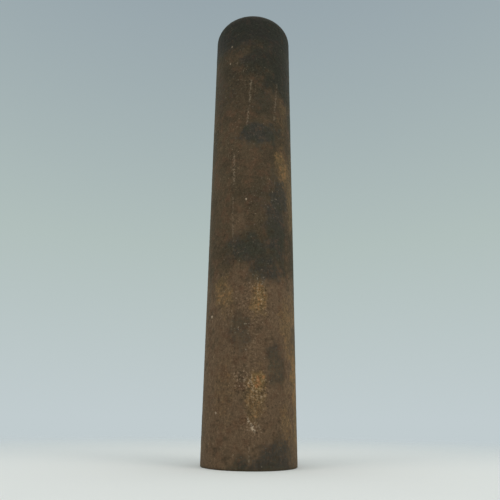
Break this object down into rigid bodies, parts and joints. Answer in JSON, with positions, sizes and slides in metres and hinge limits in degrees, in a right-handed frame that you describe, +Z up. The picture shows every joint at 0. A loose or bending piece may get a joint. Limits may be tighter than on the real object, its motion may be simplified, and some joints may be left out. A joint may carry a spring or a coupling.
{
  "type": "steel pipe bollard",
  "caption": "Steel safety bollard: a plain rusted pipe with a square-cut open base and a welded, shallow domed cap on top, made to be set in the ground or in a socket.",
  "frame": {"origin": "centre of the square-cut base face, on the pipe's axis", "axes": "+Z up along the pipe's axis, from the open base to the crown of the domed cap; X and Y are any two radii, since the bollard is round"},
  "size_m": [0.169, 0.169, 0.95],
  "materials": {
    "pipe_steel": "matte",
    "cap_steel": "matte",
    "weld_steel": "matte"
  },
  "bodies": {
    "root": {"pipe": "pipe_steel", "dome_cap": "cap_steel", "cap_weld": "weld_steel"}
  },
  "joints": []
}
